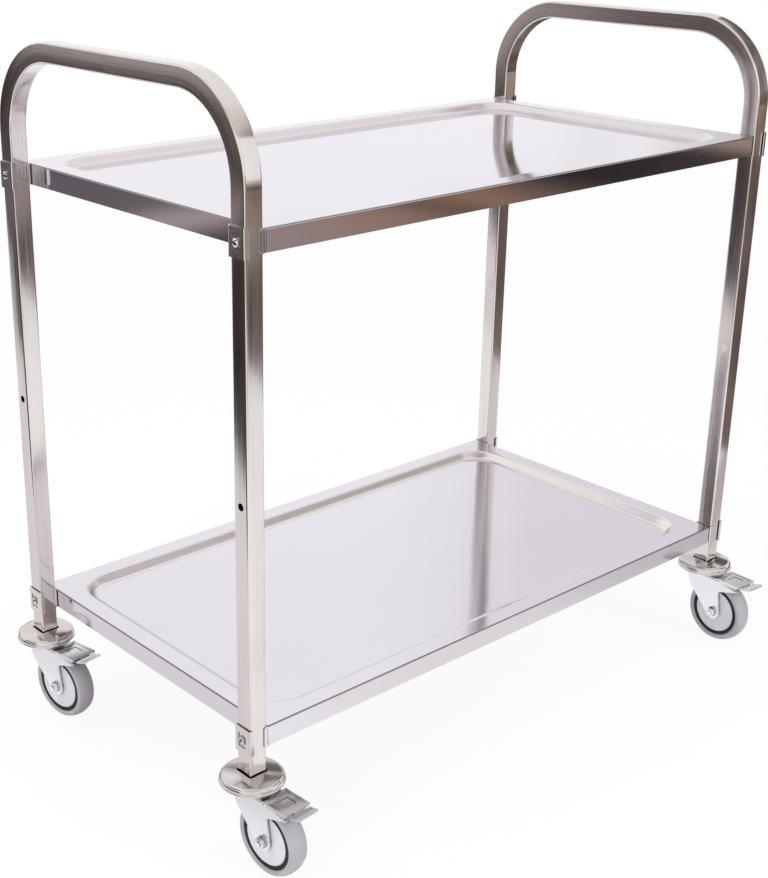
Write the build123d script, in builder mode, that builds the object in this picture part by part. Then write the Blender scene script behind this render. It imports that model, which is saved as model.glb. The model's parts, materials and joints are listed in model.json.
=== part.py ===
from build123d import *

import math
import os

# Two-tier serving trolley on four braked swivel casters.
# Millimetres, +Z up, floor at Z = 0. X runs along the shelves and Y across them.
# The origin is on the floor, midway between the four legs.

# Overall sizes
shelf_span = 900.0  # between the legs' inner faces
width = 500.0  # across the legs' outer faces
upper_rim_z = 795.0  # top of the upper shelf's border
lower_rim_z = 187.0  # top of the lower shelf's border
handle_rise = 160.0  # handle's top over the upper shelf's border

# End frames
tube = 25.0
tube_wall = 1.2
tube_corner = 2.5
bend_radius = 105.0  # to the tube's centre line

# Shelves
sheet = 1.0
rim_height = 27.0
rim_lip = 8.0  # folded in under the rim
rim_corner = 4.0
fold_radius = 2.0
border = 28.0  # flat border round the dish
dish_depth = 10.0
dish_slope = 45.0
dish_corner = 50.0
crest_round = 8.0
floor_round = 10.0

# Shelf joints
plate = 1.5
plate_bend = 0.8  # inside radius of a plate's folds
plate_gap = 0.15
clamp_over = 3.5  # clamp plate past the rim, above and below
clamp_flange = 4.5
clamp_bend = 1.5
clamp_splay = 12.0  # degrees that the clamp's flanges spring open
clamp_stand = 1.0  # clamp plate off the leg, but for its pressed-in middle
press_width = 14.0
press_height = 19.0
press_corner = 2.0
saddle_flange = 4.0
flange_corner = 2.0
screw_r = 2.5
screw_clear = 0.25
screw_tip = 0.8
screw_tail = 2.0  # screw past the nut
thread_clear = 0.05
head_r = 5.0
head_h = 3.2
head_side = 1.2  # height of the head's edge, under its dome
cross_length = 5.4
cross_width = 1.2
cross_depth = 1.8
washer_r = 5.9
washer_t = 0.9
nut_af = 8.0
nut_h = 4.0

# Spare holes half-way up the legs
spare_r = 4.8
plug_clear = 0.1
plug_rim = 1.4  # cap past the hole's edge
plug_head_h = 1.4
plug_edge = 1.0
plug_depth = 4.0

# Wheels
wheel_r = 50.0
tyre_depth = 10.0  # rubber over the core
tyre_half = 14.0
shoulder_drop = 4.0  # from the middle of the crowned tread to its edge
shoulder_round = 3.5
bead_h = 1.5
bead_inset = 0.6
core_inset = 2.2  # core's face in from the tyre's side
core_rim = 5.6
core_wall = 3.0
web_half = 4.0
hub_r = 11.0
hub_proud = 1.0  # hub's end past the tyre's side
hub_step = 2.0
cap_t = 2.6
cap_clear = 0.1
cap_crown = 0.7
cap_edge = 1.5
sleeve_wall = 1.9
spin_clear = 0.06
axle_r = 4.0
axle_clear = 0.1
axle_af = 13.0
axle_head_h = 5.3
axle_tail = 1.7  # bolt past the nut
flange_over = 1.6
flange_t = 1.4
axle_nut_h = 5.4
nut_edge = 0.6

# Forks
trail = 37.0
fork_t = 2.5
fork_gap = 0.5
fork_end_r = 12.0
crown_gap = 4.0  # from the tyre to the crown's underside
crown_back = 8.0  # crown's rear edge ahead of the pedal's pin
disc_r = 22.5
boss_r = 18.0
boss_h = 5.0
boss_land = 1.5  # round the stem's head
lead_top = 20.0  # side plate's upper front corner, ahead of the swivel axis
lead_bend = 9.0
lead_drop = 22.0
lead_round = 18.0
root_back = 6.5  # arm's root behind the axle
root_drop = 17.0
root_round = 6.0
crest_back = 5.0  # arm's crest behind the pedal's pin
arm_round = 12.0
arm_short = 2.0  # arm's end ahead of the pedal plate's end
arm_end_drop = 2.5
arm_end_h = 2.0
arm_end_round = 0.9

# Swivel heads and bumper caps
stem_r = 6.0
stem_head_over = 3.0
stem_head_h = 4.0
stem_edge = 1.5
swivel_clear = 0.08
race_clear = 0.1
race_gap = 0.5
race_t = 1.5
race_r = 30.0
race_flare = 4.0
race_skirt_gap = 1.3
bumper_r = 40.6
bumper_rise = 13.8
bumper_shoulder = 8.2  # where the crown would meet the wall
bumper_round = 7.0
bumper_t = 1.0
bumper_clear = 2.2  # between the leg and the square hole
bead_r = 1.6  # rolled edge at the foot
bead_proud = 0.6
bead_low = 1.0
insert_clear = 0.1
insert_flange = 2.0
insert_depth = 32.0
stem_short = 3.0  # stem's end below the insert's end

# Brake pedals
pin_r = 2.0
pin_clear = 0.06
pin_fit = 0.05
pin_ahead = 4.0  # pin centre past the axle
pin_above = 3.0  # pin centre over the tyre
rivet_over = 1.4
rivet_h = 1.4
rivet_edge = 1.2
pedal_t = 1.8
pedal_above = 5.0  # underside over the pin centre
pedal_back = 3.0  # plate's rear edge to the pin
pedal_reach = 39.5  # from the pin to the plate's end
pedal_bend = 1.9
step_run = 2.8
step_drop = 2.4
toe_flat = 7.8
toe_lift = 1.4
toe_reach = 59.5  # from the pin to the toe's end
toe_rise = 4.6
toe_half = 17.0
toe_corner = 5.0
notch_start = 8.5  # from the middle, to the toe's side
notch_length = 2.2
skirt_t = 1.5
skirt_gap = 0.5
skirt_depth = 3.4
skirt_short = 1.5
skirt_start = 5.0
ear_t = 1.6
ear_wall = 1.0
ear_length = 25.0
ear_foot = 3.0
panel_border = 3.5
panel_corner = 2.0
panel_depth = 0.4
window_length = 17.0
window_width = 18.0
window_depth = 1.2
brake_angle = 8.0
shoe_start = 14.0  # from the pin
shoe_length = 13.0
shoe_drop = 9.0
shoe_side = 2.4  # from a pedal ear to the shoe's side
shoe_clear = 0.35

# Which way each caster trails, in degrees from +X
headings = {"front_left": -86.5, "back_left": -81.5, "front_right": -93.0, "back_right": -90.0}

# Derived sizes
leg_x = shelf_span / 2 + tube / 2
leg_y = width / 2 - tube / 2
shelf_length = shelf_span - 2 * plate
upper_joint_z = upper_rim_z - rim_height / 2
lower_joint_z = lower_rim_z - rim_height / 2
spare_z = (upper_joint_z + lower_joint_z) / 2
clamp_height = rim_height + 2 * clamp_over
grip = tube + plate + sheet  # from the leg's outer face to the nut
screw_end = grip + nut_h + screw_tail
head_foot = plate + washer_t
head_top = head_foot + head_h
plug_head_r = spare_r + plug_rim
plug_stem_r = spare_r - plug_clear
handle_top = upper_rim_z + handle_rise
bend_z = handle_top - tube / 2 - bend_radius
bend_y = leg_y - bend_radius

axle_z = wheel_r
core_r = wheel_r - tyre_depth
core_half = tyre_half - core_inset
cap_r = core_r - core_rim
cap_seat = core_half - cap_t
hub_half = tyre_half + hub_proud
sleeve_r = axle_r + axle_clear + sleeve_wall
fork_in = hub_half + fork_gap
fork_out = fork_in + fork_t
crown_z = 2 * wheel_r + crown_gap
crown_top = crown_z + fork_t
boss_top = crown_top + boss_h
race_z = boss_top + race_gap
race_top = race_z + race_t
bumper_floor = race_top + bumper_t
leg_foot = bumper_floor + insert_flange
stem_head_r = stem_r + stem_head_over
stem_end = leg_foot + insert_depth - stem_short
pin_u = trail + pin_ahead
pin_z = 2 * wheel_r + pin_above
pedal_z = pin_z + pedal_above
pedal_end = pin_u + pedal_reach
pedal_half = fork_out + skirt_gap + skirt_t

corners = {}
for corner, heading in headings.items():
    corner_x = -leg_x if corner.endswith("left") else leg_x
    corner_y = -leg_y if corner.startswith("front") else leg_y
    corners[corner] = (corner_x, corner_y, heading)

os.makedirs("parts", exist_ok=True)


def save(part, node):
    part.label = node
    export_step(part, f"parts/{node}.step")


def tangent_point(point, centre, radius, side):
    """Where a line from point touches the circle, on the chosen side."""
    du, dz = point[0] - centre[0], point[1] - centre[1]
    turn = math.atan2(dz, du) + side * math.acos(radius / math.hypot(du, dz))
    return (centre[0] + radius * math.cos(turn), centre[1] + radius * math.sin(turn))


# End frames: a square tube bent to an upside-down U, both legs and the handle in one piece.
def tube_profile():
    RectangleRounded(tube, tube, tube_corner)
    inner = tube - 2 * tube_wall
    RectangleRounded(inner, inner, tube_corner - tube_wall, mode=Mode.SUBTRACT)


def end_frame(x):
    with BuildPart() as frame:
        for side in (-1, 1):
            with BuildSketch(Plane.XY.offset(leg_foot)):
                with Locations((x, side * leg_y)):
                    tube_profile()
            extrude(amount=bend_z - leg_foot)
            with BuildSketch(Plane.XY.offset(bend_z)):
                with Locations((x, side * leg_y)):
                    tube_profile()
            revolve(axis=Axis((x, side * bend_y, bend_z), (side, 0, 0)), revolution_arc=90)
        with BuildSketch(Plane((x, -bend_y, handle_top - tube / 2), x_dir=(1, 0, 0), z_dir=(0, 1, 0))):
            tube_profile()
        extrude(amount=2 * bend_y)
        for side in (-1, 1):
            with Locations((x, side * leg_y, upper_joint_z), (x, side * leg_y, lower_joint_z)):
                Cylinder(screw_r + screw_clear, 2 * tube, rotation=(0, 90, 0), mode=Mode.SUBTRACT)
            with Locations((x, side * leg_y, spare_z)):
                Cylinder(spare_r, 2 * tube, rotation=(0, 90, 0), mode=Mode.SUBTRACT)
    return frame


left_end_frame = end_frame(-leg_x)
save(left_end_frame.part, "left_end_frame")
right_end_frame = end_frame(leg_x)
save(right_end_frame.part, "right_end_frame")


# Shelves: one pressed sheet, made as its outer form less the form of the space under it.
def tray_form(low, high, length, across, corner, fold, inset, dish_r, crest, foot):
    with BuildPart() as form:
        with BuildSketch(Plane.XY.offset(low)):
            RectangleRounded(length, across, corner)
        extrude(amount=high - low)
        fillet(form.faces().sort_by(Axis.Z)[-1].edges(), fold)
        with BuildSketch(Plane.XY.offset(high)):
            RectangleRounded(length - 2 * inset, across - 2 * inset, dish_r)
        extrude(amount=-dish_depth, taper=dish_slope, mode=Mode.SUBTRACT)
        top_edges = form.edges().filter_by_position(Axis.Z, high - 0.01, high + 0.01)
        fillet(top_edges.filter_by(lambda e: abs(e.center().X) < length / 2 - inset / 2)
               .filter_by(lambda e: abs(e.center().Y) < across / 2 - inset / 2), crest)
        floor = high - dish_depth
        fillet(form.edges().filter_by_position(Axis.Z, floor - 0.01, floor + 0.01), foot)
    return form


def shelf(rim_z):
    low = rim_z - rim_height
    slope = math.radians(dish_slope)
    under_inset = border - sheet + sheet * math.tan(slope) - sheet / math.cos(slope)
    outer = tray_form(low, rim_z, shelf_length, width, rim_corner, fold_radius,
                      border, dish_corner, crest_round, floor_round)
    under = tray_form(low + sheet, rim_z - sheet, shelf_length - 2 * sheet, width - 2 * sheet,
                      rim_corner - sheet, fold_radius - sheet, under_inset,
                      dish_corner + border - under_inset - sheet,
                      crest_round - sheet, floor_round + sheet)
    with BuildPart() as pressing:
        add(outer.part)
        add(under.part, mode=Mode.SUBTRACT)
        with BuildSketch(Plane.XY.offset(low)):
            RectangleRounded(shelf_length - 2 * rim_lip, width - 2 * rim_lip, rim_corner)
        extrude(amount=2 * sheet, mode=Mode.SUBTRACT)
        with Locations(*[(x * shelf_length / 2, y * leg_y, rim_z - rim_height / 2)
                         for x in (-1, 1) for y in (-1, 1)]):
            Cylinder(screw_r + screw_clear, 4 * sheet, rotation=(0, 90, 0), mode=Mode.SUBTRACT)
    return pressing


upper_shelf = shelf(upper_rim_z)
save(upper_shelf.part, "upper_shelf")
lower_shelf = shelf(lower_rim_z)
save(lower_shelf.part, "lower_shelf")

# The eight leg and shelf joints. Each master faces +X with the leg's face at X = 0.
outer_faces = []
inner_faces = []
for x_side in (-1, 1):
    for y_side in (-1, 1):
        for z in (upper_joint_z, lower_joint_z):
            turn = 0 if x_side > 0 else 180
            outer_faces.append(Location((x_side * (leg_x + tube / 2), y_side * leg_y, z), (0, 0, turn)))
            inner_faces.append(Location((x_side * (leg_x - tube / 2), y_side * leg_y, z), (0, 0, 180 - turn)))


def folded_plate(height, flange, stand, bend, splay):
    lean = math.radians(splay)
    skew = plate / math.cos(lean)  # the leaning flange's thickness along Y
    fold = tube / 2 + plate_gap
    tip = fold + (stand + flange) * math.tan(lean)
    outer_fold = fold + skew - plate * math.tan(lean)
    with BuildPart() as folded:
        with BuildSketch(Plane.XY.offset(-height / 2)) as section:
            with BuildLine():
                Polyline((-flange, tip), (stand, fold), (stand, -fold), (-flange, -tip),
                         (-flange, -tip - skew), (stand + plate, -outer_fold),
                         (stand + plate, outer_fold), (-flange, tip + skew), close=True)
            make_face()
            fillet(section.vertices().group_by(Axis.X)[-1], plate + bend)
            fillet(section.vertices().filter_by_position(Axis.X, stand - 0.01, stand + 0.01), bend)
        extrude(amount=height)
        fillet(folded.edges().filter_by(Axis.Y).group_by(Axis.X)[0], flange_corner)
        if stand > 0:
            with BuildSketch(Plane.YZ.offset(plate)):
                RectangleRounded(press_width, press_height, press_corner)
            extrude(amount=stand, mode=Mode.SUBTRACT)
            with BuildSketch(Plane.YZ):
                RectangleRounded(press_width + 2 * plate, press_height + 2 * plate, press_corner + plate)
            extrude(amount=stand)
        Cylinder(screw_r + screw_clear, 6 * plate, rotation=(0, 90, 0), mode=Mode.SUBTRACT)
    return folded


clamp_plate = folded_plate(clamp_height, clamp_flange, clamp_stand, clamp_bend, clamp_splay)
saddle_plate = folded_plate(rim_height, saddle_flange, 0, plate_bend, 0)

with BuildPart() as shelf_screw:
    with BuildSketch(Plane.XZ):
        with BuildLine():
            Polyline((head_foot + head_side, head_r), (head_foot, head_r), (head_foot, screw_r),
                     (screw_tip - screw_end, screw_r), (-screw_end, screw_r - screw_tip),
                     (-screw_end, 0), (head_top, 0))
            TangentArc((head_top, 0), (head_foot + head_side, head_r), tangent=(0, 1))
        make_face()
    revolve(axis=Axis.X)
    with BuildSketch(Plane.YZ.offset(head_top)):
        Rectangle(cross_length, cross_width)
        Rectangle(cross_width, cross_length)
    extrude(amount=-cross_depth, mode=Mode.SUBTRACT)

with BuildPart() as screw_washer:
    with BuildSketch(Plane.YZ.offset(plate)):
        Circle(washer_r)
        Circle(screw_r + screw_clear, mode=Mode.SUBTRACT)
    extrude(amount=washer_t)

with BuildPart() as shelf_nut:
    with BuildSketch(Plane.YZ.offset(-grip)):
        RegularPolygon(nut_af / 2, 6, major_radius=False)
        Circle(screw_r + thread_clear, mode=Mode.SUBTRACT)
    extrude(amount=-nut_h)

with BuildPart() as clamp_plates:
    with Locations(*outer_faces):
        add(clamp_plate.part)
save(clamp_plates.part, "clamp_plates")

with BuildPart() as saddle_plates:
    with Locations(*inner_faces):
        add(saddle_plate.part)
save(saddle_plates.part, "saddle_plates")

with BuildPart() as shelf_screws:
    with Locations(*outer_faces):
        add(shelf_screw.part)
save(shelf_screws.part, "shelf_screws")

with BuildPart() as screw_washers:
    with Locations(*outer_faces):
        add(screw_washer.part)
save(screw_washers.part, "screw_washers")

with BuildPart() as shelf_nuts:
    with Locations(*outer_faces):
        add(shelf_nut.part)
save(shelf_nuts.part, "shelf_nuts")

# Caps in the spare holes, on the legs' inner faces.
with BuildPart() as hole_plug:
    with BuildSketch(Plane.XZ):
        with BuildLine():
            Polyline((-plug_depth, 0), (plug_head_h, 0), (plug_head_h, plug_head_r - plug_edge),
                     (plug_head_h - plug_edge, plug_head_r), (0, plug_head_r), (0, plug_stem_r),
                     (-plug_depth, plug_stem_r), close=True)
        make_face()
    revolve(axis=Axis.X)

with BuildPart() as hole_plugs:
    for x_side in (-1, 1):
        for y_side in (-1, 1):
            turn = 180 if x_side > 0 else 0
            with Locations(Location((x_side * (leg_x - tube / 2), y_side * leg_y, spare_z), (0, 0, turn))):
                add(hole_plug.part)
save(hole_plugs.part, "hole_plugs")

# Caster parts are made with the swivel axis on Z and the wheel trailing towards +X.
wheel_plane = Plane((trail, 0, axle_z), x_dir=(0, 1, 0), z_dir=(1, 0, 0))
axle_axis = Axis((trail, 0, axle_z), (0, 1, 0))

# Leg insert: a square plug with a flange under the leg's end.
insert_width = tube - 2 * (tube_wall + insert_clear)
with BuildPart() as leg_insert:
    with BuildSketch(Plane.XY.offset(bumper_floor)):
        RectangleRounded(tube, tube, tube_corner)
    extrude(amount=insert_flange)
    with BuildSketch(Plane.XY.offset(leg_foot)):
        RectangleRounded(insert_width, insert_width, tube_corner - tube_wall)
    extrude(amount=insert_depth)
    with Locations((0, 0, leg_foot)):
        Cylinder(stem_r + thread_clear, 3 * insert_depth, mode=Mode.SUBTRACT)

with BuildPart() as leg_inserts:
    for corner_x, corner_y, heading in corners.values():
        with Locations((corner_x, corner_y, 0)):
            add(leg_insert.part)
save(leg_inserts.part, "leg_inserts")

# Caster stem: its head carries the fork's crown, its shank is screwed into the leg insert.
with BuildPart() as caster_stem:
    stem_foot = crown_z - stem_head_h
    with BuildSketch(Plane.XZ):
        with BuildLine():
            Polyline((0, stem_foot), (stem_head_r - stem_edge, stem_foot),
                     (stem_head_r, stem_foot + stem_edge), (stem_head_r, crown_z), (stem_r, crown_z),
                     (stem_r, stem_end), (0, stem_end), close=True)
        make_face()
    revolve(axis=Axis.Z)

with BuildPart() as caster_stems:
    for corner_x, corner_y, heading in corners.values():
        with Locations((corner_x, corner_y, 0)):
            add(caster_stem.part)
save(caster_stems.part, "caster_stems")

# Fixed upper race: a flat cup over the fork's crown.
with BuildPart() as swivel_race:
    skirt_z = crown_top + race_skirt_gap
    skirt_r = race_r - race_flare
    under_r = race_r - race_t - race_flare * race_t / (race_top - skirt_z)
    with BuildSketch(Plane.XZ):
        with BuildLine():
            Polyline((stem_r + race_clear, race_z), (under_r, race_z), (skirt_r - race_t, skirt_z),
                     (skirt_r, skirt_z), (race_r, race_top), (stem_r + race_clear, race_top), close=True)
        make_face()
    revolve(axis=Axis.Z)


# Bumper cap: a domed shell with a floor and a rolled edge, and a square hole that the leg drops through.
def dome(radius, foot_z, shoulder_z, top_z, shoulder_r):
    with BuildPart() as solid:
        with BuildSketch(Plane.XZ) as section:
            with BuildLine():
                Polyline((0, top_z), (0, foot_z), (radius, foot_z), (radius, shoulder_z))
                TangentArc((0, top_z), (radius, shoulder_z), tangent=(1, 0))
            make_face()
            fillet(section.vertices().sort_by_distance((radius, shoulder_z, 0))[0], shoulder_r)
        revolve(axis=Axis.Z)
    return solid


bumper_top = race_top + bumper_rise
shoulder_top = race_top + bumper_shoulder
dome_outer = dome(bumper_r, race_top, shoulder_top, bumper_top, bumper_round)
dome_inner = dome(bumper_r - bumper_t, bumper_floor, shoulder_top - bumper_t, bumper_top - bumper_t,
                  bumper_round - bumper_t)
with BuildPart() as bumper_cap:
    add(dome_outer.part)
    with BuildSketch(Plane.XZ):
        with Locations((bumper_r + bead_proud - bead_r, race_top + bead_r - bead_low)):
            Circle(bead_r)
    revolve(axis=Axis.Z)
    add(dome_inner.part, mode=Mode.SUBTRACT)
    with BuildSketch(Plane.XY.offset(leg_foot)):
        RectangleRounded(tube + 2 * bumper_clear, tube + 2 * bumper_clear, tube_corner + bumper_clear)
    extrude(amount=bumper_rise, mode=Mode.SUBTRACT)
    with Locations((0, 0, race_top)):
        Cylinder(stem_r + race_clear, 4 * bumper_t, mode=Mode.SUBTRACT)

# Fork: crown, two side plates that end round the axle, and two tapered brake arms.
front_corner = (-lead_top, crown_top)
front_bend = (-lead_bend, crown_z - lead_drop)
arm_root = (trail + root_back, crown_z - root_drop)
arm_low = (pedal_end - arm_short, pin_z - arm_end_drop - arm_end_h)
arm_high = (pedal_end - arm_short, pin_z - arm_end_drop)
arm_crest = (pin_u + crest_back, crown_top)
front_touch = tangent_point(front_bend, (trail, axle_z), fork_end_r, 1)
rear_touch = tangent_point(arm_root, (trail, axle_z), fork_end_r, -1)
crown_end = pin_u - crown_back
with BuildPart() as fork:
    with BuildSketch(Plane.XZ) as fork_side:
        with BuildLine():
            Polyline(front_corner, front_bend, front_touch, (trail, axle_z), rear_touch, arm_root,
                     arm_low, arm_high, arm_crest, close=True)
        make_face()
        with Locations((trail, axle_z)):
            Circle(fork_end_r)
        for point, radius in ((front_bend, lead_round), (arm_root, root_round), (arm_crest, arm_round),
                              (arm_low, arm_end_round)):
            fillet(fork_side.vertices().sort_by_distance((point[0], point[1], 0))[0], radius)
    extrude(amount=fork_out, both=True)
    fold_edges = fork.edges().filter_by(Axis.X).filter_by_position(Axis.Z, crown_top - 0.01, crown_top + 0.01)
    fillet(fold_edges, fork_t)
    with BuildSketch(Plane.XY):
        Rectangle(3 * pedal_end, 2 * fork_in)
    extrude(amount=crown_z, mode=Mode.SUBTRACT)
    with BuildSketch(Plane.XY):
        with Locations((crown_end, 0)):
            Rectangle(pedal_end, 2 * fork_in, align=(Align.MIN, Align.CENTER))
    extrude(amount=2 * crown_z, mode=Mode.SUBTRACT)
    with BuildSketch(Plane.XY.offset(crown_z)):
        Circle(disc_r)
    extrude(amount=fork_t)
    with BuildSketch(Plane.XY.offset(crown_top)):
        Circle(boss_r)
    extrude(amount=boss_h)
    with BuildSketch(Plane.XY.offset(crown_z)):
        Circle(boss_r - fork_t)
        Circle(stem_head_r + boss_land, mode=Mode.SUBTRACT)
    extrude(amount=boss_h, mode=Mode.SUBTRACT)
    with Locations((0, 0, crown_z)):
        Cylinder(stem_r + swivel_clear, 4 * boss_h, mode=Mode.SUBTRACT)
    with Locations((trail, 0, axle_z)):
        Cylinder(axle_r + axle_clear, 4 * fork_out, rotation=(90, 0, 0), mode=Mode.SUBTRACT)
    with Locations((pin_u, 0, pin_z)):
        Cylinder(pin_r + pin_fit, 4 * fork_out, rotation=(90, 0, 0), mode=Mode.SUBTRACT)

# Axle: a bolt with its head on one side of the fork and a flange nut on the other.
nut_end = fork_out + flange_t + axle_nut_h
bolt_end = nut_end + axle_tail
with BuildPart() as axle_bolt:
    with BuildSketch(wheel_plane):
        with BuildLine():
            Polyline((-bolt_end, 0), (fork_out + axle_head_h, 0), (fork_out + axle_head_h, axle_r),
                     (screw_tip - bolt_end, axle_r), (-bolt_end, axle_r - screw_tip), close=True)
        make_face()
    revolve(axis=axle_axis)
    with BuildSketch(Plane((trail, fork_out, axle_z), x_dir=(1, 0, 0), z_dir=(0, 1, 0))):
        RegularPolygon(axle_af / 2, 6, major_radius=False)
    extrude(amount=axle_head_h)
    chamfer(axle_bolt.faces().sort_by(Axis.Y)[-1].edges(), nut_edge)

with BuildPart() as axle_nut:
    with BuildSketch(Plane((trail, -fork_out, axle_z), x_dir=(1, 0, 0), z_dir=(0, -1, 0))):
        Circle(axle_af / 2 + flange_over)
    extrude(amount=flange_t)
    with BuildSketch(Plane((trail, -fork_out - flange_t, axle_z), x_dir=(1, 0, 0), z_dir=(0, -1, 0))):
        RegularPolygon(axle_af / 2, 6, major_radius=False)
    extrude(amount=axle_nut_h)
    chamfer(axle_nut.faces().sort_by(Axis.Y)[0].edges(), nut_edge)
    with Locations((trail, 0, axle_z)):
        Cylinder(axle_r + thread_clear, 4 * fork_out, rotation=(90, 0, 0), mode=Mode.SUBTRACT)

with BuildPart() as axle_sleeve:
    with BuildSketch(Plane((trail, -fork_in, axle_z), x_dir=(1, 0, 0), z_dir=(0, 1, 0))):
        Circle(sleeve_r)
        Circle(axle_r + axle_clear, mode=Mode.SUBTRACT)
    extrude(amount=2 * fork_in)

# Wheel: core on the sleeve, tyre on the core, one cap in each side of the core.
with BuildPart() as wheel_core:
    bore = sleeve_r + spin_clear
    pocket_r = cap_r + cap_clear
    with BuildSketch(wheel_plane):
        with BuildLine():
            Polyline((0, bore), (hub_half, bore), (hub_half, hub_r - hub_step), (cap_seat, hub_r - hub_step),
                     (cap_seat, hub_r), (web_half, hub_r), (web_half, cap_r - core_wall),
                     (cap_seat, cap_r - core_wall), (cap_seat, pocket_r), (core_half, pocket_r),
                     (core_half, core_r), (0, core_r), close=True)
        make_face()
        mirror(about=Plane.YZ)
    revolve(axis=axle_axis)

with BuildPart() as hub_caps:
    cap_in = hub_r - hub_step + cap_clear
    cap_face = core_half + cap_crown
    with BuildSketch(wheel_plane):
        with BuildLine():
            Polyline((cap_seat, cap_in), (cap_face, cap_in), (cap_face, cap_r - cap_edge),
                     (core_half - cap_crown, cap_r), (cap_seat, cap_r), close=True)
        make_face()
        mirror(about=Plane.YZ)
    revolve(axis=axle_axis)

with BuildPart() as tyre:
    side_r = wheel_r - shoulder_drop
    bead_half = tyre_half - bead_inset
    with BuildSketch(wheel_plane) as tyre_section:
        with BuildLine():
            Polyline((-tyre_half, side_r), (-bead_half, core_r + bead_h), (-core_half, core_r),
                     (core_half, core_r), (bead_half, core_r + bead_h), (tyre_half, side_r))
            ThreePointArc((tyre_half, side_r), (0, wheel_r), (-tyre_half, side_r))
        make_face()
        shoulders = tyre_section.vertices().filter_by_position(Axis.Y, side_r - 0.01, side_r + 0.01)
        fillet(shoulders, shoulder_round)
    revolve(axis=axle_axis)

# Pedal pin: a rivet with a head on each side of the fork.
with BuildPart() as pedal_pin:
    rivet_end = fork_out + rivet_h
    rivet_r = pin_r + rivet_over
    with BuildSketch(Plane((pin_u, 0, pin_z), x_dir=(0, 1, 0), z_dir=(1, 0, 0))):
        with BuildLine():
            Polyline((0, 0), (rivet_end, 0), (rivet_end, rivet_r - rivet_edge), (fork_out, rivet_r),
                     (fork_out, pin_r), (0, pin_r), close=True)
        make_face()
        mirror(about=Plane.YZ)
    revolve(axis=Axis((pin_u, 0, pin_z), (0, 1, 0)))

# Brake pedal: a stamped plate with side skirts, a sunk panel, a toe lip and two ears on the pin.
with BuildPart() as brake_pedal:
    mid_z = pedal_z + pedal_t / 2
    step_u = pedal_end + step_run
    step_z = mid_z - step_drop
    toe_end = pin_u + toe_reach
    skirt_end = pedal_end - skirt_short
    skirt_low = pedal_z - skirt_depth
    with BuildSketch(Plane.XZ):
        with BuildLine():
            FilletPolyline((pin_u - pedal_back, mid_z), (pedal_end, mid_z), (step_u, step_z),
                           (step_u + toe_flat, step_z + toe_lift), (toe_end, step_z + toe_rise),
                           radius=pedal_bend)
        trace(line_width=pedal_t)
    extrude(amount=pedal_half, both=True)
    notch_u = pedal_end + pedal_t / 2
    for side in (-1, 1):
        with Locations((notch_u, side * (toe_half + pedal_half) / 2, mid_z)):
            Box(2 * toe_reach, pedal_half - toe_half, 4 * step_drop,
                align=(Align.MIN, Align.CENTER, Align.CENTER), mode=Mode.SUBTRACT)
        with Locations((notch_u, side * (toe_half + notch_start) / 2, mid_z)):
            Box(notch_length, toe_half - notch_start, 4 * step_drop,
                align=(Align.MIN, Align.CENTER, Align.CENTER), mode=Mode.SUBTRACT)
    toe_edges = brake_pedal.edges().filter_by(lambda e: e.center().X > toe_end - pedal_t)
    fillet(toe_edges.filter_by(lambda e: abs(e.center().Y) > toe_half - 0.1)
           .filter_by(lambda e: e.length < 2 * pedal_t), toe_corner)
    for side in (-1, 1):
        with BuildSketch(Plane.XZ.offset(side * (pedal_half - skirt_t / 2))):
            with BuildLine():
                Polyline((pin_u + skirt_start, mid_z), (skirt_end, mid_z),
                         (skirt_end, skirt_low + skirt_short), (skirt_end - skirt_short, skirt_low),
                         (pin_u + skirt_start, skirt_low), close=True)
            make_face()
        extrude(amount=skirt_t / 2, both=True)
        ear_r = pin_r + ear_wall
        with BuildSketch(Plane.XZ.offset(side * (fork_in - fork_gap - ear_t / 2))):
            with BuildLine():
                Polyline((pin_u - ear_r, mid_z), (pin_u + ear_length, mid_z),
                         (pin_u + ear_length, pedal_z - ear_foot), (pin_u + ear_r, pin_z),
                         (pin_u - ear_r, pin_z), close=True)
            make_face()
            with Locations((pin_u, pin_z)):
                Circle(ear_r)
                Circle(pin_r + pin_clear, mode=Mode.SUBTRACT)
        extrude(amount=ear_t / 2, both=True)
    panel_start = pin_u + panel_border
    panel_end = pedal_end - panel_border
    panel_at = ((panel_start + panel_end) / 2, 0)
    with BuildSketch(Plane.XY.offset(pedal_z + pedal_t)):
        with Locations(panel_at):
            RectangleRounded(panel_end - panel_start, 2 * (pedal_half - panel_border), panel_corner)
    extrude(amount=-panel_depth, mode=Mode.SUBTRACT)
    with BuildSketch(Plane.XY.offset(pedal_z + pedal_t)):
        with Locations(panel_at):
            RectangleRounded(window_length, window_width, panel_corner)
    extrude(amount=-window_depth, mode=Mode.SUBTRACT)

# Brake shoe: hollowed to the tyre's curve as the tyre stands to the pedal when it is pressed.
press = math.radians(brake_angle)
axle_du, axle_dz = trail - pin_u, axle_z - pin_z
pressed_u = pin_u + axle_du * math.cos(press) - axle_dz * math.sin(press)
pressed_z = pin_z + axle_du * math.sin(press) + axle_dz * math.cos(press)
shoe_half = fork_in - fork_gap - ear_t - shoe_side
with BuildPart() as brake_shoe:
    shoe_end = shoe_start + shoe_length
    with BuildSketch(Plane.XZ):
        with BuildLine():
            Polyline((pin_u + shoe_start, pedal_z), (pin_u + shoe_end, pedal_z),
                     (pin_u + shoe_end, pin_z - shoe_drop), (pin_u + shoe_start, pin_z - shoe_drop),
                     close=True)
        make_face()
        with Locations((pressed_u, pressed_z)):
            Circle(wheel_r + shoe_clear, mode=Mode.SUBTRACT)
    extrude(amount=shoe_half, both=True)

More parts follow.
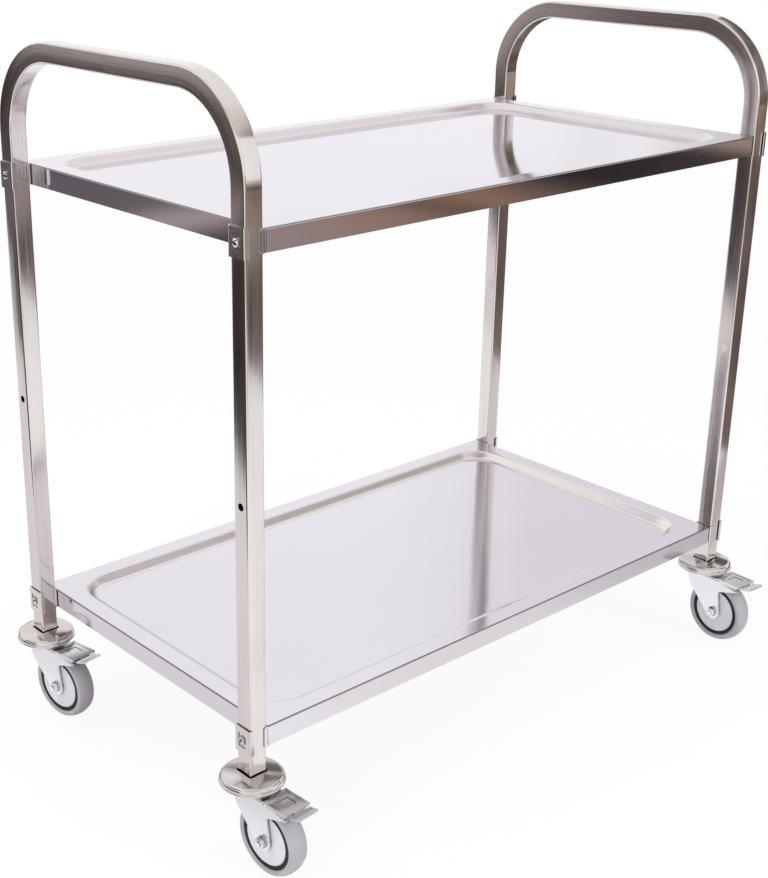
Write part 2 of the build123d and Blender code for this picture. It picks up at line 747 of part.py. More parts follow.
# Place one of each caster part at every leg.
fixed_pieces = {"bumper_cap": bumper_cap, "swivel_race": swivel_race}
caster_pieces = {
    "fork": fork,
    "axle_bolt": axle_bolt,
    "axle_nut": axle_nut,
    "axle_sleeve": axle_sleeve,
    "pedal_pin": pedal_pin,
    "wheel_core": wheel_core,
    "tyre": tyre,
    "hub_caps": hub_caps,
    "brake_pedal": brake_pedal,
    "brake_shoe": brake_shoe,
}
for corner, (corner_x, corner_y, heading) in corners.items():
    for name, piece in fixed_pieces.items():
        save(piece.part.moved(Location((corner_x, corner_y, 0))), f"{name}_{corner}")
    for name, piece in caster_pieces.items():
        save(piece.part.moved(Location((corner_x, corner_y, 0), (0, 0, heading))), f"{name}_{corner}")
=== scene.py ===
import json
import math

import bpy
from mathutils import Matrix, Vector

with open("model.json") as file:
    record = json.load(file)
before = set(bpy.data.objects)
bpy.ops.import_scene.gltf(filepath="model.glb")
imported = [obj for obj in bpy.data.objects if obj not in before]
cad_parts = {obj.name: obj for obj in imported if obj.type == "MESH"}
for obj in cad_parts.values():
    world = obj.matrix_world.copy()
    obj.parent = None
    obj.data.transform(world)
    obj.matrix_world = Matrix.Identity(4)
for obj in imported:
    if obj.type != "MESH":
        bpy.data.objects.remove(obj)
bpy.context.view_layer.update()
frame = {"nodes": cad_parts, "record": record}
nodes = frame["nodes"]

# The camera, fitted to the photograph. Metres and degrees.
IMAGE_WIDTH = 768
IMAGE_HEIGHT = 878
CAMERA_AT = (-1.4170, -1.4412, 1.1488)
CAMERA_YAW = 40.535  # from +Y towards +X
CAMERA_PITCH = 21.08  # downwards
CAMERA_ROLL = 0.186
FOCAL_PIXELS = 1481.3
CENTRE_X = 300.0  # the pixel column that the camera's axis meets
SENSOR = 36.0  # millimetres


def make_camera():
    yaw, pitch, roll = (math.radians(angle) for angle in (CAMERA_YAW, CAMERA_PITCH, CAMERA_ROLL))
    level = math.cos(pitch)
    ahead = Vector((math.sin(yaw) * level, math.cos(yaw) * level, -math.sin(pitch)))
    side = Vector((math.cos(yaw), -math.sin(yaw), 0.0))
    up = side.cross(ahead)
    right = side * math.cos(roll) + up * math.sin(roll)
    above = up * math.cos(roll) - side * math.sin(roll)
    data = bpy.data.cameras.new("camera")
    data.sensor_width = SENSOR
    data.sensor_fit = "AUTO"
    data.lens = FOCAL_PIXELS / IMAGE_HEIGHT * SENSOR
    data.shift_x = (IMAGE_WIDTH / 2 - CENTRE_X) / IMAGE_HEIGHT
    camera = bpy.data.objects.new("camera", data)
    turn = Matrix((right, above, -ahead)).transposed().to_4x4()
    camera.matrix_world = Matrix.Translation(CAMERA_AT) @ turn
    bpy.context.collection.objects.link(camera)
    bpy.context.scene.camera = camera


make_camera()


# Node helpers
NOISE_MEAN = 0.5


def empty_tree(owner):
    """The node tree of a material or a world, with nothing in it."""
    owner.use_nodes = True
    owner.node_tree.nodes.clear()
    return owner.node_tree


def add_node(tree, kind, inputs, **settings):
    """A new node's outputs. Each input is a socket to link or a plain value, and a colour has no alpha."""
    node = tree.nodes.new(kind)
    for name, value in settings.items():
        setattr(node, name, value)
    for key, value in inputs.items():
        socket = node.inputs[key]
        if isinstance(value, bpy.types.NodeSocket):
            tree.links.new(value, socket)
        elif socket.type == "RGBA":
            socket.default_value = (*value, 1.0)
        else:
            socket.default_value = value
    return node.outputs


def start_material(name):
    """A new material and its empty tree."""
    material = bpy.data.materials.new(name)
    return material, empty_tree(material)


def finish_principled(tree, inputs):
    shader = add_node(tree, "ShaderNodeBsdfPrincipled", inputs)["BSDF"]
    add_node(tree, "ShaderNodeOutputMaterial", {"Surface": shader})


def object_coords(tree):
    """Coordinates in metres in the trolley's frame."""
    return add_node(tree, "ShaderNodeTexCoord", {})["Object"]


def axes(tree, vector):
    """The vector's X, Y and Z."""
    parts = add_node(tree, "ShaderNodeSeparateXYZ", {"Vector": vector})
    return parts["X"], parts["Y"], parts["Z"]


def math_node(tree, operation, a, b=0.0):
    return add_node(tree, "ShaderNodeMath", {0: a, 1: b}, operation=operation)["Value"]


def plus(tree, a, b):
    return math_node(tree, "ADD", a, b)


def minus(tree, a, b):
    return math_node(tree, "SUBTRACT", a, b)


def times(tree, a, b):
    return math_node(tree, "MULTIPLY", a, b)


def size_of(tree, value):
    return math_node(tree, "ABSOLUTE", value)


def noise(tree, place, scales, detail=4.0, roughness=0.55):
    """Noise with a scale for each axis. Most of it lies between 0.3 and 0.7."""
    stretched = add_node(tree, "ShaderNodeMapping", {"Vector": place, "Scale": scales})["Vector"]
    inputs = {"Vector": stretched, "Scale": 1.0, "Detail": detail, "Roughness": roughness}
    return add_node(tree, "ShaderNodeTexNoise", inputs)["Fac"]


def ramp(tree, factor, stops):
    """A colour ramp of (place, colour) stops."""
    node = tree.nodes.new("ShaderNodeValToRGB")
    elements = node.color_ramp.elements
    while len(elements) < len(stops):
        elements.new(0.5)
    for element, (place, colour) in zip(elements, stops):
        element.position = place
        element.color = (*colour, 1.0)
    tree.links.new(factor, node.inputs["Fac"])
    return node.outputs["Color"]


def map_range(tree, value, low, high, to_low, to_high):
    inputs = {"Value": value, "From Min": low, "From Max": high, "To Min": to_low, "To Max": to_high}
    return add_node(tree, "ShaderNodeMapRange", inputs)["Result"]


def bump(tree, height, distance, under=None):
    inputs = {"Height": height, "Distance": distance}
    if under is not None:
        inputs["Normal"] = under
    return add_node(tree, "ShaderNodeBump", inputs)["Normal"]


def mixed_colour(tree, factor, colour, other):
    """The colour where the factor is 0, and the other where it is 1."""
    inputs = {"Factor": factor, "A": colour, "B": other}
    return add_node(tree, "ShaderNodeMix", inputs, data_type="RGBA")["Result"]


# What the steel's materials share
OPENNESS = (0.35, 0.95)  # of a spot in an inner corner, and of one that is clear of it
OPENNESS_SAMPLES = 16
# painted shade that darkens inner corners and the spots where pieces touch
CORNER_SHADE = (0.05, 0.045, 0.04)
SHELF_HALF = (0.45, 0.25)  # half of the shelves' room between the legs, and half of their width
FOLD = 0.008  # how far in from a shelf's outline its folded edge goes
# a painted dark reflection along the slopes of the shelves' folded edges
FOLD_DARK_REFLECTION = (0.26, 0.235, 0.235)
FACING = 0.06  # the band over which the tone of slopes changes from one side's to the other's
DRAWN_DULL = 0.2  # roughness that stretched slopes gain


def shaded_in_corners(tree, colour, reach):
    """The colour, darkened by painted shade within reach of inner corners and of pieces that touch."""
    inputs = {"Distance": reach}
    openness = add_node(tree, "ShaderNodeAmbientOcclusion", inputs, samples=OPENNESS_SAMPLES)["AO"]
    return mixed_colour(tree, map_range(tree, openness, *OPENNESS, 1.0, 0.0), colour, CORNER_SHADE)


def sloping(tree):
    """0 on level and upright faces and up to 1 on slopes between them, and the normal's X and Y added up."""
    x, y, z = axes(tree, add_node(tree, "ShaderNodeNewGeometry", {})["Normal"])
    level = size_of(tree, z)
    lean = math_node(tree, "SQRT", minus(tree, 1.0, times(tree, level, level)))
    return times(tree, times(tree, level, lean), 2.0), plus(tree, x, y)


def by_the_rim(tree, place):
    """1 within FOLD of a shelf's outline, else 0."""
    x, y, _ = axes(tree, place)
    past = [minus(tree, size_of(tree, way), half) for way, half in zip((x, y), SHELF_HALF)]
    return math_node(tree, "GREATER_THAN", math_node(tree, "MAXIMUM", *past), -FOLD)


# The bent tube's centre line, as in the CAD model
BEND_RADIUS = 0.105
BEND_Y = 0.1325
BEND_Z = 0.8375
LEG_X = 0.4625


def tube_coords(tree):
    """Offsets from the bent centre line along X and across it, and the way along it, in metres.

    Each leg's X is moved by a whole number, so that no two legs share a pattern.
    """
    x, y, z = axes(tree, object_coords(tree))
    out = minus(tree, size_of(tree, y), BEND_Y)
    rise = minus(tree, z, BEND_Z)
    bend_out = math_node(tree, "MAXIMUM", out, 0.0)
    bend_rise = math_node(tree, "MAXIMUM", rise, 0.0)
    squares = plus(tree, times(tree, bend_out, bend_out), times(tree, bend_rise, bend_rise))
    offset = minus(tree, math_node(tree, "SQRT", squares), BEND_RADIUS)
    arc = times(tree, math_node(tree, "ARCTAN2", bend_rise, bend_out), BEND_RADIUS)
    straights = minus(tree, math_node(tree, "MINIMUM", rise, 0.0), math_node(tree, "MINIMUM", out, 0.0))
    leg = plus(tree, math_node(tree, "SIGN", y), times(tree, math_node(tree, "SIGN", x), 2.0))
    side = plus(tree, minus(tree, size_of(tree, x), LEG_X), leg)
    inputs = {"X": side, "Y": offset, "Z": plus(tree, arc, straights)}
    return add_node(tree, "ShaderNodeCombineXYZ", inputs)["Vector"]


def crowned(tree, place, swell):
    """The normal of tube faces that stand out a little along their middle.

    place is from tube_coords, and the whole number that its X was moved by is taken off again.
    """
    x, y, _ = axes(tree, place)
    x = minus(tree, x, math_node(tree, "ROUND", x))
    squares = plus(tree, times(tree, x, x), times(tree, y, y))
    return bump(tree, times(tree, squares, -swell), 1.0)


# Scales of patterns by axis, in waves to the metre
ALONG_X = (30.0, 2200.0, 2200.0)
ALONG_Z = (2200.0, 2200.0, 25.0)
EVEN = (700.0, 700.0, 700.0)
STEEL_HAZE = (6.0, 6.0, 6.0)
CAP_HAZE = (25.0, 25.0, 25.0)
SHEET_HAZE = (1.5, 4.0, 4.0)
SHEET_WAVES = (4.0, 6.0, 4.0)
TUBE_HAZE = (40.0, 40.0, 6.0)
TUBE_STREAKS = (330.0, 330.0, 2.5)
MOULDED = (30.0, 30.0, 30.0)

# The parts of noises that tones and roughness run over
HAZE_SPAN = (0.34, 0.66)
GLOSS_SPAN = (0.36, 0.64)
TUBE_SPAN = (0.36, 0.64)
TUBE_GLOSS_SPAN = (0.76, 1.24)
SKIN_SPAN = (0.3, 0.7)

LINES_SHARE = 0.6  # the lines' share of the steel's roughness, where the rest is the haze's
TUBE_DARK = (0.72, 0.675, 0.66)
TUBE_LIGHT = (0.82, 0.78, 0.77)
TUBE_ROUGHNESS = (0.08, 0.17)
TUBE_SWELL = 1.0  # height lost per square of the distance from a face's middle
STREAK_DEPTH = 4e-5
LINE_DEPTH = 1e-5
SKIN_ROUGHNESS = 0.08  # how far roughness goes up and down over a moulded skin


def polished_steel(name, dark, light, rough, grain, depth, patches=STEEL_HAZE, wave=0.0, painted_slopes=None,
                   shade_reach=0.0):
    """Steel with polishing lines.

    dark and light are the tones of its haze, and rough is its least and most roughness. grain and patches are
    the scales of lines and haze. depth is the lines' depth, and wave the sheet's unevenness. The slope tones
    are two tones of painted reflection and shade on slopes, which are duller too: one for those that face -X
    or -Y, and one for those that face +X or +Y.
    The corner shade's reach is how far painted shade reaches from inner corners. Depths and reaches are in
    metres.
    """
    material, tree = start_material(name)
    place = object_coords(tree)
    haze = noise(tree, place, patches, detail=3.0, roughness=0.5)
    lines = noise(tree, place, grain, detail=5.0, roughness=0.6)
    colour = ramp(tree, haze, tuple(zip(HAZE_SPAN, (dark, light))))
    # painted shade in inner corners and where pieces touch
    if shade_reach:
        colour = shaded_in_corners(tree, colour, shade_reach)
    both = plus(tree, times(tree, lines, LINES_SHARE), times(tree, haze, 1.0 - LINES_SHARE))
    gloss = map_range(tree, both, *GLOSS_SPAN, *rough)
    # painted reflection and shade on slopes, with a painted dark reflection along the shelves' folds
    if painted_slopes:
        slope, facing = sloping(tree)
        gloss = plus(tree, gloss, times(tree, slope, DRAWN_DULL))
        painted_slope_tone = mixed_colour(tree, map_range(tree, facing, -FACING, FACING, 0.0, 1.0), *painted_slopes)
        # the painted dark reflection along the folds
        painted_slope_tone = mixed_colour(tree, by_the_rim(tree, place), painted_slope_tone, FOLD_DARK_REFLECTION)
        colour = mixed_colour(tree, slope, colour, painted_slope_tone)
    uneven = bump(tree, noise(tree, place, SHEET_WAVES, detail=1.0), wave) if wave else None
    normal = bump(tree, lines, depth, uneven)
    finish_principled(tree, {"Metallic": 1.0, "Base Color": colour, "Roughness": gloss, "Normal": normal})
    return material


def polished_tube(name):
    """Polished square tube: slightly crowned faces, drawing streaks along it and fine lines over them."""
    material, tree = start_material(name)
    place = tube_coords(tree)
    haze = noise(tree, place, TUBE_HAZE, detail=3.0, roughness=0.5)
    streaks = noise(tree, place, TUBE_STREAKS, detail=3.0, roughness=0.6)
    lines = noise(tree, place, ALONG_Z, detail=4.0, roughness=0.6)
    shade = times(tree, plus(tree, haze, streaks), 0.5)
    colour = ramp(tree, shade, tuple(zip(TUBE_SPAN, (TUBE_DARK, TUBE_LIGHT))))
    gloss = map_range(tree, plus(tree, lines, shade), *TUBE_GLOSS_SPAN, *TUBE_ROUGHNESS)
    normal = bump(tree, streaks, STREAK_DEPTH, crowned(tree, place, TUBE_SWELL))
    normal = bump(tree, lines, LINE_DEPTH, normal)
    finish_principled(tree, {"Metallic": 1.0, "Base Color": colour, "Roughness": gloss, "Normal": normal})
    return material


def plain_plastic(name, dark, light, dull, mottle, depth, sheen=0.5):
    """Moulded plastic or rubber with a fine skin. mottle is the skin's scale and depth its height."""
    material, tree = start_material(name)
    place = object_coords(tree)
    colour = ramp(tree, noise(tree, place, MOULDED), tuple(zip(SKIN_SPAN, (dark, light))))
    skin = noise(tree, place, (mottle, mottle, mottle))
    gloss = map_range(tree, skin, *SKIN_SPAN, dull - SKIN_ROUGHNESS, dull + SKIN_ROUGHNESS)
    inputs = {"Specular IOR Level": sheen, "Base Color": colour, "Roughness": gloss,
              "Normal": bump(tree, skin, depth)}
    finish_principled(tree, inputs)
    return material


# Finishes by node, or else by the record's material slot
# Painted reflection on the shelves' slopes, and painted shade on the lower shelf's slopes that face away
UPPER_SLOPE_REFLECTION = (0.81, 0.775, 0.80)
LOWER_SLOPE_REFLECTION = (0.88, 0.83, 0.80)
LOWER_SLOPE_BACK_SHADE = (0.54, 0.51, 0.54)  # painted shade on the slopes that face away from the camera
materials = {
    "tube_steel": polished_tube("tube_steel"),
    "upper_shelf": polished_steel(
        "upper_shelf_steel", (0.77, 0.74, 0.805), (0.79, 0.76, 0.825), rough=(0.05, 0.09), grain=ALONG_X,
        depth=4e-6, patches=SHEET_HAZE, wave=4e-4, painted_slopes=(UPPER_SLOPE_REFLECTION, UPPER_SLOPE_REFLECTION)),
    "lower_shelf": polished_steel(
        "lower_shelf_steel", (0.765, 0.735, 0.795), (0.79, 0.76, 0.82), rough=(0.07, 0.11), grain=ALONG_X,
        depth=6e-6, patches=SHEET_HAZE, wave=6e-4, painted_slopes=(LOWER_SLOPE_REFLECTION, LOWER_SLOPE_BACK_SHADE)),
    "bracket_steel": polished_steel(
        "bracket_steel", (0.74, 0.70, 0.69), (0.80, 0.77, 0.76), rough=(0.12, 0.24), grain=ALONG_Z,
        depth=1.5e-5, shade_reach=0.002),
    "fastener_steel": polished_steel(
        "fastener_steel", (0.78, 0.78, 0.79), (0.85, 0.85, 0.86), rough=(0.08, 0.16), grain=EVEN,
        depth=8e-6, shade_reach=0.002),
    "zinc_steel": polished_steel(
        "zinc_steel", (0.81, 0.82, 0.855), (0.88, 0.89, 0.92), rough=(0.24, 0.36), grain=EVEN, depth=7e-6),
    "pedal_steel": polished_steel(
        "pedal_steel", (0.66, 0.665, 0.68), (0.80, 0.805, 0.82), rough=(0.14, 0.24), grain=EVEN,
        depth=8e-6, shade_reach=0.0025),
    "shoe_steel": polished_steel(
        "shoe_steel", (0.24, 0.24, 0.25), (0.34, 0.34, 0.35), rough=(0.4, 0.6), grain=EVEN, depth=2e-5),
    "bumper_chrome": polished_steel(
        "bumper_chrome", (0.61, 0.58, 0.565), (0.74, 0.71, 0.695), rough=(0.11, 0.18), grain=EVEN,
        depth=8e-6, patches=CAP_HAZE),
    "tyre_rubber": plain_plastic(
        "tyre_rubber", (0.36, 0.34, 0.375), (0.42, 0.40, 0.435), dull=0.44, mottle=900.0, depth=2e-5),
    "core_plastic": plain_plastic(
        "core_plastic", (0.012, 0.011, 0.014), (0.022, 0.021, 0.025), dull=0.6, mottle=900.0, depth=1e-5,
        sheen=0.2),
    "cap_plastic": plain_plastic(
        "cap_plastic", (0.62, 0.605, 0.655), (0.68, 0.665, 0.715), dull=0.42, mottle=700.0, depth=1e-5),
    "insert_plastic": plain_plastic(
        "insert_plastic", (0.02, 0.02, 0.02), (0.04, 0.04, 0.04), dull=0.5, mottle=700.0, depth=1e-5),
    "plug_plastic": plain_plastic(
        "plug_plastic", (0.62, 0.60, 0.60), (0.72, 0.70, 0.70), dull=0.3, mottle=700.0, depth=1e-5),
}

slot_of = {row["node"]: row["material_slot"] for row in frame["record"]["subparts"]}
for name, node in nodes.items():
    finish = materials[name] if name in materials else materials[slot_of[name]]
    for slot in node.material_slots:
        slot.material = finish


# The studio: a white floor and world, soft lamps, and cards that only reflections see.
WHITE = (1.0, 1.0, 1.0)
FLOOR_HALF = 20.0
FLOOR_MATT = (0.92, 0.92, 0.92)
FLOOR_WHITE = 0.9  # share of the floor's white that no shadow reaches, near the trolley
FLOOR_FADE = (1.2, 5.0)  # distances over which that share rises to 1
WORLD_FILL = 0.7  # the world's strength for what it lights, where 1 is the white that is seen


def rectangle(low, high):
    """The corners of a rectangle, from two that face each other."""
    return [low, (high[0], low[1]), high, (low[0], high[1])]


def add_face(name, corners, material):
    """A studio object of one face."""
    mesh = bpy.data.meshes.new(name)
    mesh.from_pydata(corners, [], [tuple(range(len(corners)))])
    mesh.materials.append(material)
    thing = bpy.data.objects.new(name, mesh)
    bpy.context.collection.objects.link(thing)
    return thing


def white_to_eye(tree):
    """1 for rays from the camera and from mirrors and glass, else 0."""
    path = add_node(tree, "ShaderNodeLightPath", {})
    total = path["Is Camera Ray"]
    for kind in ("Is Glossy Ray", "Is Transmission Ray"):
        total = math_node(tree, "MAXIMUM", total, path[kind])
    return total


def make_floor():
    material, tree = start_material("floor_white")
    matt = add_node(tree, "ShaderNodeBsdfDiffuse", {"Color": FLOOR_MATT})["BSDF"]
    glow = add_node(tree, "ShaderNodeEmission", {"Color": WHITE})["Emission"]
    away = add_node(tree, "ShaderNodeVectorMath", {0: object_coords(tree)}, operation="LENGTH")["Value"]
    share = map_range(tree, away, *FLOOR_FADE, FLOOR_WHITE, 1.0)
    inputs = {"Fac": times(tree, white_to_eye(tree), share), 1: matt, 2: glow}
    mixed = add_node(tree, "ShaderNodeMixShader", inputs)["Shader"]
    add_node(tree, "ShaderNodeOutputMaterial", {"Surface": mixed})
    outline = rectangle((-FLOOR_HALF, -FLOOR_HALF), (FLOOR_HALF, FLOOR_HALF))
    floor = add_face("floor", [(x, y, 0.0) for x, y in outline], material)


def make_world():
    world = bpy.data.worlds.new("studio")
    bpy.context.scene.world = world
    tree = empty_tree(world)
    strength = map_range(tree, white_to_eye(tree), 0.0, 1.0, WORLD_FILL, 1.0)
    back = add_node(tree, "ShaderNodeBackground", {"Color": WHITE, "Strength": strength})["Background"]
    add_node(tree, "ShaderNodeOutputWorld", {"Surface": back})


def card(name, corners, stops, axis=None, span=None, grain=(0.9, 0.7, 0.9), stir=0.35):
    """A studio card. Its colours are mottled, or run along one axis with some stirring.

    They run over the span, or over the whole card where none is given. grain is the mottling's scale by axis,
    and stir is how far it moves the colours, in metres.
    """
    material, tree = start_material(name)
    place = object_coords(tree)
    factor = noise(tree, place, grain, detail=2.0)
    if axis:
        which = "XYZ".index(axis)
        ways = [corner[which] for corner in corners]
        low, high = span or (min(ways), max(ways))
        moved = times(tree, minus(tree, factor, NOISE_MEAN), stir)
        factor = map_range(tree, plus(tree, axes(tree, place)[which], moved), low, high, 0.0, 1.0)
    glow = add_node(tree, "ShaderNodeEmission", {"Color": ramp(tree, factor, stops)})["Emission"]
    add_node(tree, "ShaderNodeOutputMaterial", {"Surface": glow})
    thing = add_face(name, corners, material)
    thing.visible_camera = False
    thing.visible_diffuse = False
    thing.visible_shadow = False
    thing.visible_transmission = False


def level_card(name, z, outline, stops, *run, **more):
    """A card that lies level, with its outline in X and Y."""
    card(name, [(x, y, z) for x, y in outline], stops, *run, **more)


def card_across_x(name, x, outline, stops, *run, **more):
    """A card that stands across X, with its outline in Y and Z."""
    card(name, [(x, y, z) for y, z in outline], stops, *run, **more)


def card_across_y(name, y, outline, stops, *run, **more):
    """A card that stands across Y, with its outline in X and Z."""
    card(name, [(x, y, z) for x, z in outline], stops, *run, **more)


def area_lamp(name, place, target, size, watts):
    data = bpy.data.lights.new(name, "AREA")
    data.shape = "RECTANGLE"
    data.size, data.size_y = size
    data.energy = watts
    lamp = bpy.data.objects.new(name, data)
    lamp.location = place
    lamp.rotation_euler = (Vector(target) - Vector(place)).to_track_quat("-Z", "Y").to_euler()
    lamp.visible_camera = False
    lamp.visible_glossy = False
    bpy.context.collection.objects.link(lamp)


# The cards' colours
UMBER = ((0.30, (0.085, 0.065, 0.058)), (0.52, (0.14, 0.108, 0.095)), (0.72, (0.22, 0.165, 0.14)))
SOOT = ((0.36, (0.028, 0.022, 0.021)), (0.50, (0.052, 0.042, 0.04)), (0.66, (0.15, 0.125, 0.125)))
PALE_RIGHT = ((0.30, (0.70, 0.68, 0.69)), (0.70, (0.80, 0.78, 0.79)))
PALE_LEFT = ((0.30, (0.78, 0.75, 0.77)), (0.70, (0.86, 0.83, 0.84)))
FADING = ((0.10, (0.30, 0.27, 0.265)), (0.25, (0.42, 0.39, 0.39)), (0.60, (0.75, 0.73, 0.75)))
BANDS = (
    (0.10, (0.35, 0.30, 0.28)),
    (0.24, (0.36, 0.25, 0.20)),
    (0.32, (0.30, 0.20, 0.15)),
    (0.355, (0.10, 0.07, 0.055)),
    (0.42, (0.36, 0.22, 0.13)),
    (0.50, (0.16, 0.115, 0.09)),
    (0.60, (0.025, 0.02, 0.02)),
    (0.87, (0.03, 0.025, 0.024)),
    (0.93, (0.44, 0.34, 0.27)),
)
CEILING = (
    (0.20, (0.76, 0.715, 0.66)),
    (0.30, (0.80, 0.755, 0.705)),
    (0.42, (0.91, 0.885, 0.85)),
    (0.60, (0.94, 0.92, 0.91)),
)
CEILING_RIGHT = (
    (0.0, (0.80, 0.76, 0.72)),
    (0.25, (0.42, 0.375, 0.34)),
    (0.45, (0.20, 0.175, 0.16)),
    (1.0, (0.20, 0.175, 0.16)),
)
HAZE_LOW = (
    (0.21, (0.66, 0.65, 0.65)),
    (0.30, (0.80, 0.79, 0.80)),
    (0.39, (0.96, 0.955, 0.96)),
    (0.48, (0.93, 0.92, 0.925)),
    (0.57, (0.975, 0.97, 0.975)),
    (0.75, WHITE),
)
HAZE_HIGH = (
    (0.21, (0.85, 0.82, 0.845)),
    (0.57, (0.865, 0.835, 0.86)),
    (0.63, (0.90, 0.88, 0.90)),
    (0.75, (0.95, 0.94, 0.95)),
    (0.93, WHITE),
)
SHADE = (
    (0.0, WHITE),
    (0.22, (0.34, 0.31, 0.29)),
    (0.5, (0.24, 0.21, 0.195)),
    (0.78, (0.34, 0.31, 0.29)),
    (1.0, WHITE),
)
FRONT = (
    (0.0, WHITE),
    (0.03, (0.96, 0.935, 0.91)),
    (0.35, (0.87, 0.85, 0.83)),
    (0.46, (0.74, 0.715, 0.72)),
    (0.60, (0.63, 0.60, 0.605)),
    (0.90, (0.54, 0.51, 0.515)),
)
LEFT_RIM = (
    (0.06, (0.06, 0.045, 0.045)),
    (0.15, (0.14, 0.105, 0.105)),
    (0.23, (0.45, 0.39, 0.39)),
    (0.31, (0.42, 0.365, 0.365)),
    (0.40, (0.15, 0.13, 0.13)),
    (0.80, (0.14, 0.13, 0.145)),
    (1.0, (0.06, 0.05, 0.048)),
)
LEFT_WALL = (
    (0.10, (0.05, 0.04, 0.038)),
    (0.42, (0.085, 0.07, 0.066)),
    (0.56, (0.12, 0.10, 0.095)),
    (0.70, (0.40, 0.36, 0.35)),
)
DEEPENING = (
    (0.0, WHITE),
    (0.35, (0.52, 0.48, 0.46)),
    (0.6, (0.14, 0.115, 0.105)),
    (1.0, (0.10, 0.08, 0.075)),
)
END_WALL = (
    (0.15, (0.09, 0.075, 0.07)),
    (0.30, (0.16, 0.135, 0.125)),
    (0.40, (0.62, 0.59, 0.58)),
    (0.60, (0.62, 0.59, 0.58)),
    (0.70, (0.16, 0.135, 0.125)),
    (0.85, (0.09, 0.075, 0.07)),
)

# The cards' places
UNDER, MIDDLE, OVER = 0.002, 0.004, 0.008  # heights of three layers of cards on the floor
REACH = 9.0  # how far the floor's cards go
NEAR_Y = -2.55  # the right floor card's change from plain to banded
FAR_X = 4.6  # where a plain card covers the bands again
LEFT_X = -4.6  # the left wall
LEFT_BACK = 7.5  # the left wall's end
RIGHT_X = 7.0  # the right wall
HAZE_X = 4.0  # the right wall of haze
END_Y = 7.0  # the walls ahead and at the back
END_HALF = 2.6  # half of their length
WALL_TOP = 1.2  # of the walls on the left, ahead and at the back
RIGHT_TOP = 1.1  # of the right wall
HAZE_SPLIT = 1.9  # the height where the wall of haze changes its colours
ARCH_X = 1.7  # the arch on the right
STRIP_X = -1.6  # the strips on the left
FLAG_X = 3.0  # the flags, one on each side
SKY = 5.0  # the ceiling's height
SKY_HALF = 4.9  # half of its width
SKY_GAP = 0.05  # between the ceiling and the card under it
RIGHT_EDGE = [(1.45, 0.6), (1.27, -0.42), (0.72, -1.72)]
LEFT_EDGE = [(-1.24, 0.2), (-1.28, 0.85), (-1.4, 1.9), (-1.72, 2.6), (-1.95, 4.0), (-2.1, REACH)]
BANDS_START = (0.31, NEAR_Y)
ARCH_INSIDE = [(-1.2, 0.75), (-1.0, 0.75), (-0.88, 1.2), (-0.6, 1.52), (-0.3, 1.61), (0.0, 1.6), (0.35, 1.38),
               (0.45, 1.12)]
ARCH_OUTSIDE = [(0.6, 1.12), (0.5, 1.5), (0.35, 1.66), (0.0, 1.86), (-0.3, 1.88), (-0.6, 1.82), (-0.95, 1.52),
                (-1.2, 1.3)]

make_floor()
make_world()

# On the floor
level_card("card_right", MIDDLE, [*RIGHT_EDGE, BANDS_START, (REACH, NEAR_Y), (REACH, 0.6)], UMBER)
level_card("card_bands", MIDDLE, [BANDS_START, (-1.5, -REACH), (REACH, -REACH), (REACH, NEAR_Y)],
           BANDS, "X", (1.2, FAR_X), stir=0.12)
level_card("card_left", MIDDLE, [*LEFT_EDGE, (-REACH, REACH), (-REACH, -1.5), (-1.4, -0.6)],
           SOOT, grain=(1.1, 1.6, 1.1))
level_card("card_left_rim", OVER, rectangle((-3.0, 2.2), (-2.1, 4.0)),
           LEFT_RIM, "Y", grain=(2.0, 2.0, 2.0), stir=0.12)
level_card("card_behind", MIDDLE, [(-2.9, -3.6), (-1.9, -3.6), (-1.6, -2.1), (-2.6, -2.1)], UMBER)
level_card("card_pale_left", UNDER, [(-1.27, -0.6), (-0.56, -0.6), (-0.56, 2.6), (-1.9, 2.6)], PALE_LEFT)
level_card("card_shade", MIDDLE, rectangle((-0.47, -0.33), (0.1, 0.33)),
           SHADE, "Y", grain=(4.0, 4.0, 4.0), stir=0.1)
level_card("card_front", MIDDLE, rectangle((-0.2, -0.68), (1.2, -0.43)),
           FRONT, "X", grain=(5.0, 5.0, 5.0), stir=0.16)
level_card("card_corner", MIDDLE, [(0.7, -0.43), (1.25, -0.43), (1.3, 0.0), (0.7, 0.0)], PALE_RIGHT)
level_card("card_far", OVER, rectangle((FAR_X, -3.38), (REACH, NEAR_Y)), UMBER)
level_card("card_leg", OVER, rectangle((1.85, -4.3), (2.75, -3.2)), UMBER)
level_card("card_back_right", MIDDLE, [(1.1, 0.6), (REACH, 0.6), (REACH, REACH), (1.9, REACH)], UMBER)
level_card("card_ahead", UNDER, [(-1.5, -1.4), (-1.5, -6.0), (0.2, -6.0), (0.45, -1.4)],
           DEEPENING, "Y", (-1.4, -4.4))
level_card("card_back", UNDER, rectangle((-1.2, 1.5), (1.2, 6.0)), DEEPENING, "Y", (1.5, 4.5))

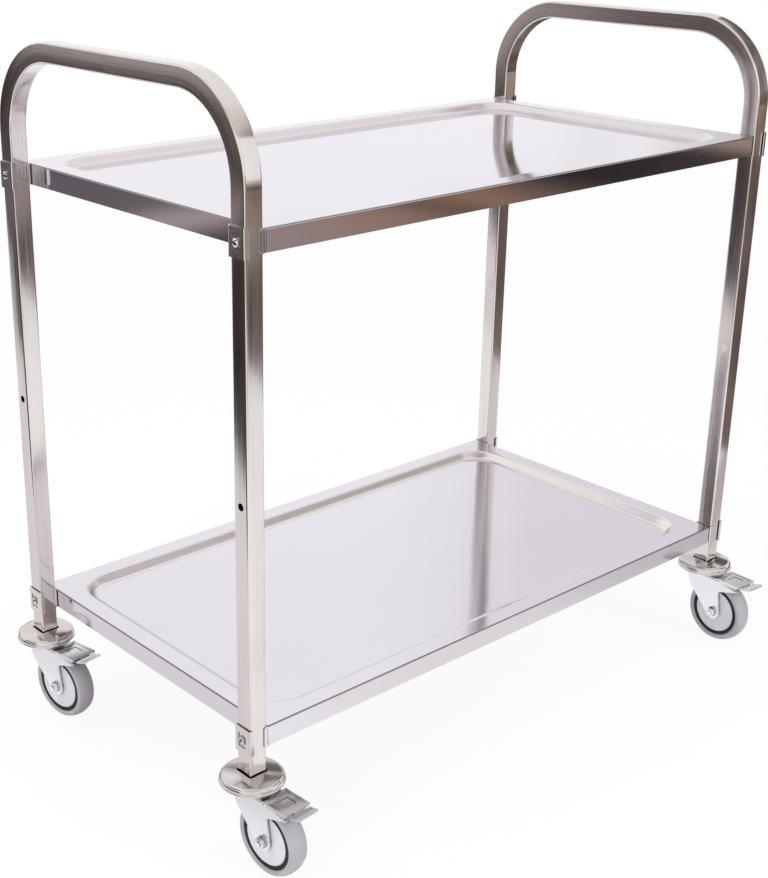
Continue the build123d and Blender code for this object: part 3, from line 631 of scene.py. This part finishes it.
# Upright, to the left and the right
card_across_x("wall_left", LEFT_X, rectangle((-1.0, 0.0), (LEFT_BACK, WALL_TOP)), LEFT_WALL, "Y", stir=1.6)
card_across_x("strip_near", STRIP_X, rectangle((0.99, 0.55), (1.18, 1.45)), UMBER)
card_across_x("strip_far", STRIP_X, rectangle((1.93, 1.1), (2.23, 2.4)), FADING, "Z", stir=0.1)
card_across_x("flag_left", -FLAG_X, rectangle((-0.4, 1.5), (2.2, 2.8)), UMBER)
card_across_x("flag_right", FLAG_X, rectangle((0.5, 1.0), (1.15, 2.3)), UMBER)
card_across_x("wall_right", RIGHT_X, rectangle((-6.0, 0.0), (1.2, RIGHT_TOP)), UMBER)
card_across_x("arch_right", ARCH_X, ARCH_INSIDE + ARCH_OUTSIDE, UMBER)
card_across_x("wall_right_low", HAZE_X, rectangle((1.5, 0.0), (4.3, HAZE_SPLIT)), HAZE_LOW, "Y", stir=0.1)
card_across_x("wall_right_high", HAZE_X, rectangle((1.5, HAZE_SPLIT), (4.3, SKY)), HAZE_HIGH, "Y", stir=0.1)

# Upright, ahead and at the back
card_across_y("wall_back_left", LEFT_BACK, rectangle((LEFT_X, 0.0), (-1.2, WALL_TOP)), SOOT)
for name, y in (("wall_ahead", -END_Y), ("wall_back", END_Y)):
    card_across_y(name, y, rectangle((-END_HALF, 0.0), (END_HALF, WALL_TOP)), END_WALL, "X", stir=0.9)

# Overhead
level_card("ceiling", SKY, rectangle((-SKY_HALF, -SKY_HALF), (SKY_HALF, SKY_HALF)), CEILING, "Y")
level_card("ceiling_right", SKY - SKY_GAP, rectangle((3.2, -SKY_HALF), (RIGHT_X, -1.7)),
           CEILING_RIGHT, "X", stir=0.2)

area_lamp("key_lamp", place=(0.9, -3.0, 1.8), target=(0.0, 0.0, 0.4), size=(1.6, 1.2), watts=40.0)
area_lamp("side_lamp", place=(-2.7, -0.9, 1.3), target=(-0.3, 0.0, 0.3), size=(1.6, 1.2), watts=22.0)
area_lamp("top_lamp", place=(-0.6, 0.4, 3.2), target=(0.0, 0.0, 0.4), size=(2.4, 2.4), watts=35.0)

bpy.context.scene.view_settings.view_transform = "Standard"
